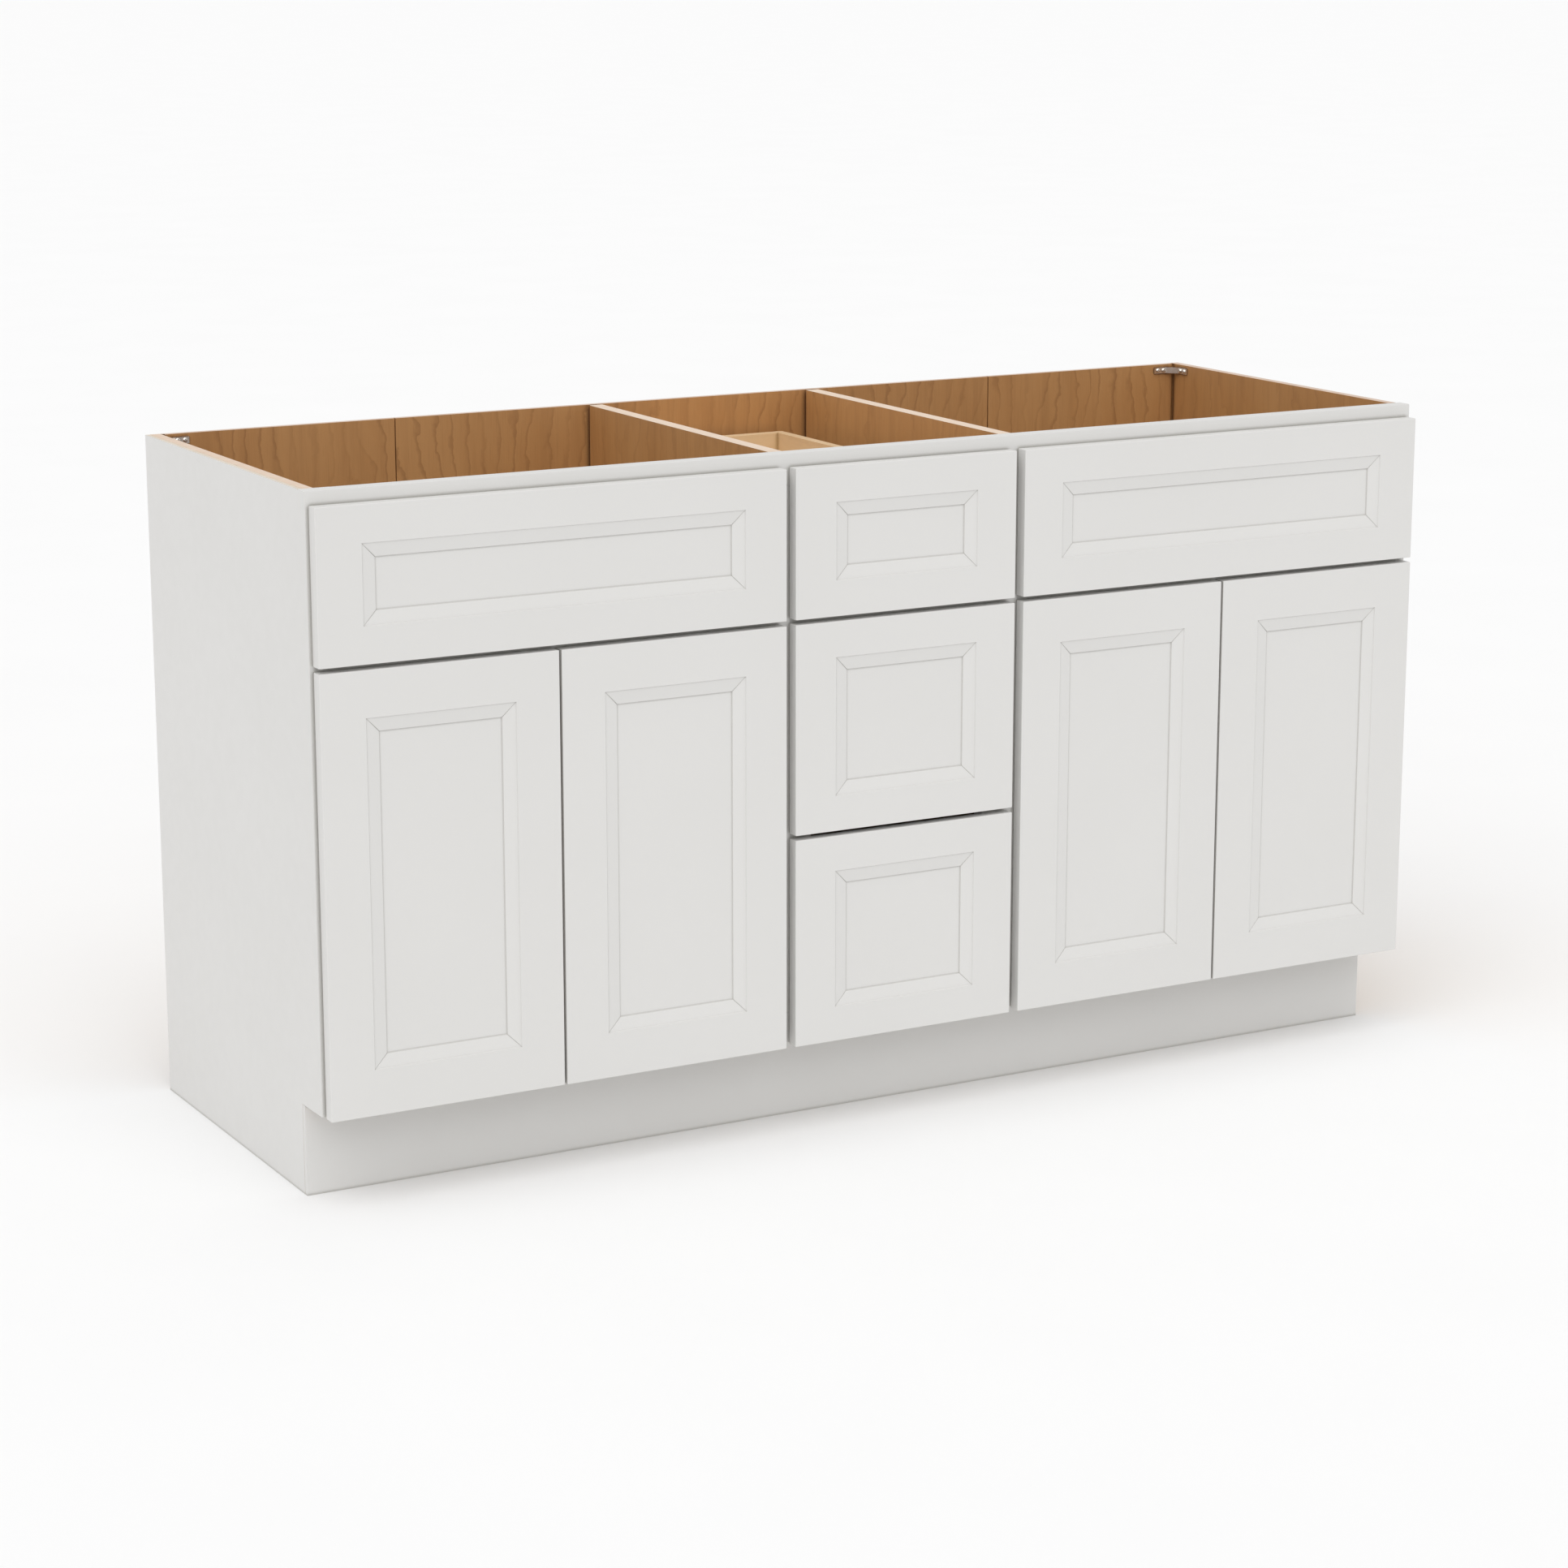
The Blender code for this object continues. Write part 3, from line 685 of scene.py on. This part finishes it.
def build_face_frame():
    """Rails and mullions reach their neighbours, so that their joints don't show under the paint."""
    joints = {
        "left_stile": ("+X", "+Y"), "right_stile": ("-X",), "top_rail": ("-X", "+X"),
        "bottom_rail": ("-X", "+X"), "left_mullion": ("-Z", "+Z"), "right_mullion": ("-Z", "+Z"),
        "left_mid_rail": ("-X", "+X"), "center_mid_rail": ("-X", "+X"), "right_mid_rail": ("-X", "+X"),
    }
    for name, joined in joints.items():
        node = f"frame_{name}"
        low, high = corners(node)
        reach = 0 if name.endswith("stile") else GAP
        for side in joined:
            axis = "XYZ".index(side[1])
            if side[0] == "+":
                high[axis] += reach
            else:
                low[axis] -= reach
        shape = Shape()
        shape.board(low, high, PAINT, square=joined)
        shape.piece(f"{node}_board", "cabinet", [node])


def build_bracket(side, sign):
    """A bent strip across a rear corner, with two screws in each leg."""
    low, high = corners(f"corner_bracket_{side}")
    wall_x = high.x if sign > 0 else low.x
    half = BRACKET_SHEET / 2
    leg = high.x - low.x
    corner = Vector((wall_x, high.y))
    reach = [(leg, half), (BRACKET_CHAMFER, half), (half, BRACKET_CHAMFER), (half, leg)]
    path = [(corner.x - sign * a, corner.y - b) for a, b in reach]
    shape = Shape()
    shape.sheet(path, BRACKET_BEND, BRACKET_SHEET, "Z", low.z, high.z, ZINC)
    middle_z = (low.z + high.z) / 2
    for share in BRACKET_SCREW_SHARES:
        on_back = Vector((corner.x - sign * leg * share, corner.y - BRACKET_SHEET, middle_z))
        on_side = Vector((corner.x - sign * BRACKET_SHEET, corner.y - leg * share, middle_z))
        shape.screw(on_back, (0, -1, 0), *BRACKET_SCREW)
        shape.screw(on_side, (-sign, 0, 0), *BRACKET_SCREW)
    shape.piece(f"corner_brace_{side}", "cabinet", [f"corner_bracket_{side}"])


def spread(first, last, count):
    """Evenly spaced numbers, both ends included."""
    return [first + (last - first) * i / (count - 1) for i in range(count)]


def build_back_staples():
    """Crown staples into the deck, the ends and the partitions, driven nearly flush."""
    low = corners("back_panel_left")[0]
    high = corners("back_panel_right")[1]
    shape = Shape()

    def staple(x, z, half_x, half_z):
        half = Vector((half_x, STAPLE_PROUD, half_z))
        middle = Vector((x, high.y - STAPLE_PROUD, z))
        shape.board(middle - half, middle + half, ZINC, ease=STAPLE_EASE)

    deck_z = corners("bottom_panel")[0].z + STAPLE_DECK_RISE
    for x in spread(low.x + STAPLE_SPAN_INSET, high.x - STAPLE_SPAN_INSET, STAPLE_COLUMNS):
        staple(x, deck_z, STAPLE_HALF_CROWN, STAPLE_HALF_WIRE)
    partitions = [sum(corners(f"{side}_partition"), Vector()).x / 2 for side in ("left", "right")]
    for x in (low.x + STAPLE_SIDE_INSET, *partitions, high.x - STAPLE_SIDE_INSET):
        for z in spread(low.z + STAPLE_START, high.z - STAPLE_STOP, STAPLE_ROWS):
            staple(x, z, STAPLE_HALF_WIRE, STAPLE_HALF_CROWN)
    shape.piece("back_staples", "cabinet")


# ---- Fronts -------------------------------------------------------------------------------------


def front_ring(half_x, half_z, inset_x, inset_z, y, soft, sink):
    """Twelve points round a front: at each corner one point, with one on each side of it.

    soft rounds the corner, and sink lowers its middle point for the mitre.
    """
    a = half_x - inset_x
    b = half_z - inset_z
    ring = []
    for sx, sz, first in ((-1, -1, "z"), (1, -1, "x"), (1, 1, "z"), (-1, 1, "x")):
        reach = soft or MITRE_HALF_WIDTH
        pull = soft * (1 - math.sqrt(0.5))
        beside_x = Vector((sx * (a - reach), y, sz * b))
        beside_z = Vector((sx * a, y, sz * (b - reach)))
        middle = Vector((sx * (a - pull), y + sink, sz * (b - pull)))
        ring += [beside_z, middle, beside_x] if first == "z" else [beside_x, middle, beside_z]
    return ring


def front_rings(low, high, border_x, border_z):
    """Rings from a front's back, round its edge and over its moulding to the field."""
    half_x = (high.x - low.x) / 2
    half_z = (high.z - low.z) / 2
    thickness = high.y - low.y
    turns = spread(0, math.pi / 2, EDGE_STEPS + 1)
    edge = [(REAR_EASE * (1 - math.sin(a)), thickness - REAR_EASE * (1 - math.cos(a))) for a in turns]
    edge += [(FRONT_EASE * (1 - math.cos(a)), FRONT_EASE * (1 - math.sin(a))) for a in turns]
    rings = [front_ring(half_x, half_z, inset, inset, depth, CORNER_EASE, 0) for inset, depth in edge]
    for i, (inset, depth) in enumerate(MOULDING):
        sink = MITRE_DEPTH if i in BEVEL else 0
        rings.append(front_ring(half_x, half_z, border_x + inset, border_z + inset, depth, 0, sink))
    middle = Vector(((low.x + high.x) / 2, low.y, (low.z + high.z) / 2))
    return [[point + middle for point in ring] for ring in rings]


def build_front(node, body, border_z, name):
    low, high = corners(node)
    shape = Shape()
    shape.loft(front_rings(low, high, BORDER_STILE, border_z), PAINT)
    return shape.piece(name, body, [node])


def carve(thing, cutters):
    """Cuts closed shapes out of a piece and removes them."""
    for cutter in cutters:
        cut = thing.modifiers.new("bore", "BOOLEAN")
        cut.operation = "DIFFERENCE"
        cut.solver = "EXACT"
        cut.material_mode = "TRANSFER"
        cut.object = cutter
        thing.modifiers.move(len(thing.modifiers) - 1, 0)
    weighted = thing.modifiers["flat_faces"]
    weighted.show_viewport = False
    evaluated = thing.evaluated_get(bpy.context.evaluated_depsgraph_get())
    carved = bpy.data.meshes.new_from_object(evaluated)
    carved.name = thing.data.name
    thing.data = carved
    for modifier in [m for m in thing.modifiers if m.type == "BOOLEAN"]:
        thing.modifiers.remove(modifier)
    weighted.show_viewport = True
    for cutter in cutters:
        bpy.data.objects.remove(cutter)


def bore_cutter(place, depth):
    """A drill for a hinge cup, from the back of a door."""
    shape = Shape()
    shape.turned(place, (0, -1, 0), [(BORE_RADIUS, BORE_START), (BORE_RADIUS, depth)], FIBER)
    mesh = bpy.data.meshes.new("bore")
    shape.bm.to_mesh(mesh)
    shape.bm.free()
    mesh.materials.append(FIBER)
    thing = bpy.data.objects.new("bore", mesh)
    bpy.context.scene.collection.objects.link(thing)
    return thing


def add_bumpers(body, x_places, z_places, back_y, name):
    """Small vinyl domes that keep a front off the face frame."""
    dome = [(BUMPER_RADIUS * radius, BUMPER_RISE * rise) for radius, rise in BUMPER_DOME]
    shape = Shape()
    for x in x_places:
        for z in z_places:
            shape.turned(Vector((x, back_y, z)), (0, 1, 0), dome, VINYL)
    shape.piece(name, body)


# ---- Doors --------------------------------------------------------------------------------------


def build_hinge_cup(door, tag, cup, inward):
    """Cup, flange, arm and their pins and screws. They ride on the door."""
    node = f"{door}_hinge_cup_{tag}"
    low, high = corners(node)
    shape = Shape()
    depth = cup.y - low.y
    bowl = [(CUP_RADIUS, -depth)]
    bowl += [(CUP_RADIUS - inset, CUP_RIM - drop) for inset, drop in CUP_LIP]
    bowl += [(CUP_RADIUS - inset, rise - depth) for inset, rise in CUP_FLOOR]
    shape.turned(cup, (0, 1, 0), bowl, NICKEL)
    for sign in (-1, 1):
        middle = cup + Vector((0, EAR_MIDDLE, sign * (CUP_FLANGE_HEIGHT / 2 - EAR_HALF.z)))
        shape.board(middle - EAR_HALF, middle + EAR_HALF, NICKEL, ease=RAW_EASE)
        shape.screw(middle + Vector((0, EAR_HALF.y, 0)), (0, 1, 0), *EAR_SCREW, NICKEL)

    tip = high.x if inward > 0 else low.x
    half = ARM_HEIGHT / 2
    arm_x = sorted((tip, tip - inward * ARM_WIDTH))
    arm_low = Vector((arm_x[0], cup.y - ARM_SINK, cup.z - half))
    arm_high = Vector((arm_x[1], high.y, cup.z + half))
    shape.board(arm_low, arm_high, NICKEL, segments=3)
    for pin_y in (cup.y + PIN_INSET, high.y - PIN_INSET):
        pin = Vector(((arm_x[0] + arm_x[1]) / 2, pin_y, cup.z - half - PIN_PROUD))
        length = ARM_HEIGHT + 2 * PIN_PROUD
        shape.turned(pin, (0, 0, 1), [(PIN_RADIUS, 0), (PIN_RADIUS, length)], ZINC, sides=16)
    shape.piece(f"{door}_cup_{tag}", door, [node])


def build_hinge_plate(door, tag, inward):
    """The plate that wraps round the inner edge of the face frame."""
    node = f"{door}_hinge_plate_{tag}"
    low, high = corners(node)
    face, wrap = (high.x, low.x) if inward > 0 else (low.x, high.x)
    half = SHEET / 2
    path = [(face - inward * half, low.y), (face - inward * half, high.y - half), (wrap, high.y - half)]
    shape = Shape()
    shape.sheet(path, BEND_RADIUS, SHEET, "Z", low.z, high.z, NICKEL)
    middle = (low + high) / 2
    for sign in (-1, 1):
        z = middle.z + sign * PLATE_SCREW_RISE
        shape.screw(Vector((face, middle.y, z)), (inward, 0, 0), *PLATE_SCREW)
        shape.screw(Vector((middle.x - inward * PLATE_SCREW_SHIFT, high.y, z)), (0, 1, 0))
    shape.piece(f"{door}_plate_{tag}", "cabinet", [node])


def build_doors():
    for door in ("left_outer_door", "left_inner_door", "right_inner_door", "right_outer_door"):
        low, high = corners(door)
        thing = build_front(door, door, BORDER_STILE, f"{door}_panel")
        joint = next(j for j in frame["joints"] if j["child"] == door)
        hinge_x = joint["pos_m"][0]
        free_x = low.x if abs(hinge_x - high.x) < abs(hinge_x - low.x) else high.x
        inward = 1 if free_x > hinge_x else -1
        cutters = []
        for tag in ("lower", "upper"):
            cup_low, cup_high = corners(f"{door}_hinge_cup_{tag}")
            cup = Vector((hinge_x + inward * CUP_EDGE_DISTANCE, high.y, (cup_low.z + cup_high.z) / 2))
            cutters.append(bore_cutter(cup, BORE_DEPTH))
            build_hinge_cup(door, tag, cup, inward)
            build_hinge_plate(door, tag, inward)
        carve(thing, cutters)
        x_places = [free_x - inward * BUMPER_INSET]
        z_places = [low.z + BUMPER_INSET, high.z - BUMPER_INSET]
        add_bumpers(door, x_places, z_places, high.y, f"{door}_bumpers")


# ---- Drawers ------------------------------------------------------------------------------------


def tails(low, high):
    """(middle, half width at the tip) of each tail up the corner of a drawer box."""
    count = round((high.z - low.z) / TAIL_PITCH)
    pitch = (high.z - low.z) / count
    return [(low.z + pitch * (i + 0.5), pitch * TAIL_SHARE) for i in range(count)]


def side_board_outline(low, high):
    """(y, z) outline of a drawer side with tails at both ends."""
    outline = []
    for middle, half in tails(low, high):
        base = half - TAIL_SLOPE
        outline += [(high.y - BOX_WALL, middle - base), (high.y, middle - half), (high.y, middle + half),
                    (high.y - BOX_WALL, middle + base)]
    outline = [(high.y - BOX_WALL, low.z)] + outline + [(high.y - BOX_WALL, high.z)]
    middle_y = low.y + high.y
    return outline + [(middle_y - y, z) for y, z in reversed(outline)]


def pin_outlines(low, high, inner_y, outer_y):
    """(y, z) outlines of the pins between the tails, at one end of a drawer side."""
    edges = [(low.z, low.z)]
    for middle, half in tails(low, high):
        edges.append((middle - half + TAIL_SLOPE, middle - half))
        edges.append((middle + half - TAIL_SLOPE, middle + half))
    edges.append((high.z, high.z))
    gap = JOINT_LINE
    return [
        [(inner_y, base_a + gap), (outer_y, tip_a + gap), (outer_y, tip_b - gap), (inner_y, base_b - gap)]
        for (base_a, tip_a), (base_b, tip_b) in zip(edges[::2], edges[1::2])
    ]


def build_drawer_box(level):
    node = f"{level}_drawer_box"
    body = f"{level}_drawer"
    low, high = corners(node)
    for side, sign in (("left", -1), ("right", 1)):
        outer = sign * high.x
        inner = outer - sign * BOX_WALL
        shape = Shape()
        shape.prism(side_board_outline(low, high), "X", *sorted((outer, inner)), MAPLE["side"])
        shape.piece(f"{node}_{side}", body, [node] if side == "left" else ())

    inner_x = high.x - BOX_WALL
    for end, inner_y, outer_y in (("front", low.y + BOX_WALL, low.y), ("back", high.y - BOX_WALL, high.y)):
        shape = Shape()
        near, far = sorted((inner_y, outer_y))
        shape.board(Vector((-inner_x, near, low.z)), Vector((inner_x, far, high.z)), MAPLE["end"],
                    square=("-X", "+X"))
        for outline in pin_outlines(low, high, inner_y, outer_y):
            for sign in (-1, 1):
                x = sorted((sign * (inner_x - PIN_OVERLAP), sign * (high.x - JOINT_LINE)))
                shape.prism(outline, "X", *x, MAPLE["end"])
        if end == "front":
            for x in (-BOX_SCREW_X, BOX_SCREW_X):
                for z in (low.z + BOX_SCREW_RISE, high.z - BOX_SCREW_DROP):
                    shape.screw(Vector((x, inner_y, z)), (0, 1, 0), *BOX_SCREW)
        shape.piece(f"{node}_{end}", body)

    floor_low = Vector((-inner_x, low.y + BOX_WALL, low.z + BOX_FLOOR_RISE))
    floor_high = Vector((inner_x, high.y - BOX_WALL, floor_low.z + BOX_FLOOR_THICKNESS))
    shape = Shape()
    shape.board(floor_low, floor_high, MAPLE["floor"], ease=RAW_EASE)
    shape.piece(f"{node}_floor", body)


def channel_path(web_x, lip_x, low_z, high_z, thickness):
    """Middle line of a C section with its web at web_x and its lips towards lip_x."""
    half = thickness / 2
    web = web_x + math.copysign(half, lip_x - web_x)
    return [(lip_x, low_z + half), (web, low_z + half), (web, high_z - half), (lip_x, high_z - half)]


def build_slide(level, side, sign):
    """Channel with its rear foot on the cabinet, runner on the drawer, and the balls between them."""
    member = f"{level}_slide_{side}"
    low, high = corners(member)
    box_x = corners(f"{level}_drawer_box")[1].x
    runner_low, runner_high = corners(f"{level}_runner_{side}")
    axis_z = (runner_low.z + runner_high.z) / 2
    web = corners("frame_right_mullion")[0].x - GAP
    lip = box_x + GAP + SHEET
    half_height = (runner_high.z - runner_low.z) / 2 + CHANNEL_CLEARANCE
    shape = Shape()
    path = channel_path(sign * web, sign * lip, axis_z - half_height, axis_z + half_height, SHEET)
    shape.sheet(path, BEND_RADIUS, SHEET, "Y", low.y, high.y, ZINC)
    foot_low = Vector((sign * (web - SHEET), high.y - 2 * SHEET, low.z))
    foot_high = Vector((high.x if sign > 0 else low.x, high.y, high.z))
    foot_a = Vector(map(min, foot_low, foot_high))
    foot_b = Vector(map(max, foot_low, foot_high))
    shape.board(foot_a, foot_b, ZINC, ease=FOOT_EASE)
    foot_x = (foot_a.x + foot_b.x) / 2 + sign * FOOT_SCREW_SHIFT
    for rise in (-FOOT_SCREW_RISE, FOOT_SCREW_RISE):
        shape.screw(Vector((foot_x, foot_a.y, axis_z + rise)), (0, -1, 0))
    for share in CHANNEL_SCREW_SHARES:
        place = Vector((sign * (web - SHEET), low.y + (high.y - low.y) * share, axis_z))
        shape.screw(place, (-sign, 0, 0), *CHANNEL_SCREW)
    shape.piece(f"{member}_channel", "cabinet", [member])

    runner = Shape()
    runner_web = sign * (box_x + GAP)
    runner_lip = sign * max(abs(runner_low.x), abs(runner_high.x))
    path = channel_path(runner_web, runner_lip, runner_low.z, runner_high.z, SHEET)
    runner.sheet(path, BEND_RADIUS, SHEET, "Y", runner_low.y, runner_high.y, ZINC)
    runner.piece(f"{level}_runner_{side}_rail", f"{level}_drawer", [f"{level}_runner_{side}"])

    cage = Shape()
    cage_x = sign * (lip + CAGE_DEPTH)
    start = low.y + CAGE_START
    length = BALL_SPACING * (BALLS_PER_ROW + 1)
    for row in (-1, 1):
        z = axis_z + row * ((runner_high.z - runner_low.z) / 2 + BALL_RISE)
        half = Vector((CAGE_HALF_WIDTH, length / 2, CAGE_HALF_SHEET))
        middle = Vector((cage_x, start + length / 2, z))
        cage.board(middle - half, middle + half, ZINC, ease=CAGE_EASE)
        for i in range(BALLS_PER_ROW):
            cage.ball(Vector((cage_x, start + BALL_SPACING * (i + 1), z)), BALL_RADIUS, NICKEL)
    cage.piece(f"{member}_balls", "cabinet")


def build_drawers():
    for level in ("top", "middle", "bottom"):
        node = f"{level}_drawer_front"
        low, high = corners(node)
        build_front(node, f"{level}_drawer", BORDER_RAIL, f"{node}_panel")
        build_drawer_box(level)
        for side, sign in (("left", -1), ("right", 1)):
            build_slide(level, side, sign)
        x_places = [low.x + BUMPER_INSET, high.x - BUMPER_INSET]
        z_places = [low.z + BUMPER_DROP, high.z - BUMPER_DROP]
        add_bumpers(f"{level}_drawer", x_places, z_places, high.y, f"{level}_drawer_bumpers")


def build_false_fronts():
    for side in ("left", "right"):
        build_front(f"{side}_false_front", "cabinet", BORDER_RAIL, f"{side}_false_front_panel")


# ---- Stage --------------------------------------------------------------------------------------


def build_floor():
    """A pale matt floor."""
    material, tree, shader, place = new_material("studio_floor")
    tone = mix_colors(tree, noise(tree, place, 3.0, 2.0), (0.88, 0.88, 0.88, 1), (0.90, 0.90, 0.90, 1))
    connect(tree, shader, Base_Color=tone)
    shader.inputs["Roughness"].default_value = 0.9
    shader.inputs["Specular IOR Level"].default_value = 0.1
    bm = bmesh.new()
    bmesh.ops.create_grid(bm, x_segments=1, y_segments=1, size=FLOOR_REACH)
    mesh = bpy.data.meshes.new("floor")
    bm.to_mesh(mesh)
    bm.free()
    mesh.materials.append(material)
    floor = bpy.data.objects.new("floor", mesh)
    bpy.context.scene.collection.objects.link(floor)


def build_lights():
    """Even white surroundings and one broad soft light from above, in front and to the left."""
    world = bpy.data.worlds.new("studio")
    world.use_nodes = True
    bpy.context.scene.world = world
    tree = world.node_tree
    tree.nodes.clear()
    seen = add_node(tree, "ShaderNodeLightPath").outputs["Is Camera Ray"]
    strength = remap(tree, seen, 0.0, 1.0, WORLD_LIGHT, 1.0)
    background = add_node(tree, "ShaderNodeBackground", {"Color": (1, 1, 1, 1), "Strength": strength})
    add_node(tree, "ShaderNodeOutputWorld", {"Surface": background.outputs[0]})

    key = bpy.data.lights.new("key", "SUN")
    key.energy = KEY_LIGHT
    key.angle = KEY_ANGLE
    lamp = bpy.data.objects.new("key", key)
    lamp.rotation_mode = "QUATERNION"
    lamp.rotation_quaternion = KEY_FROM.to_track_quat("Z", "Y")
    bpy.context.scene.collection.objects.link(lamp)


def build_camera():
    camera = bpy.data.cameras.new("camera")
    camera.lens = LENS
    thing = bpy.data.objects.new("camera", camera)
    bpy.context.scene.collection.objects.link(thing)
    back = Vector((
        math.sin(VIEW_AZIMUTH) * math.cos(VIEW_ELEVATION),
        -math.cos(VIEW_AZIMUTH) * math.cos(VIEW_ELEVATION),
        math.sin(VIEW_ELEVATION),
    ))
    thing.location = AIM + back * VIEW_DISTANCE
    thing.rotation_mode = "QUATERNION"
    thing.rotation_quaternion = back.to_track_quat("Z", "Y")
    bpy.context.scene.camera = thing


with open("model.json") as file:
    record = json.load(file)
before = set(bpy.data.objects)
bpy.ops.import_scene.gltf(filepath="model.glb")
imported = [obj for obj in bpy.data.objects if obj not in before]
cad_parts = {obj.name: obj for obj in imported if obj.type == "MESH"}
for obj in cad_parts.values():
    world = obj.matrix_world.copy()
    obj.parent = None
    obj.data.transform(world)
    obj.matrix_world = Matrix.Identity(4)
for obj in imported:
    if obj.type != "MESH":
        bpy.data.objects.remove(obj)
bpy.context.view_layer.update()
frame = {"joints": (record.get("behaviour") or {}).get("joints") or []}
bpy.context.scene.view_settings.view_transform = "Standard"

build_camera()
build_lights()
build_floor()
build_ends()
build_partitions()
build_back()
build_deck_and_toe_kick()
build_face_frame()
build_bracket("left", -1)
build_bracket("right", 1)
build_back_staples()
build_false_fronts()
build_doors()
build_drawers()
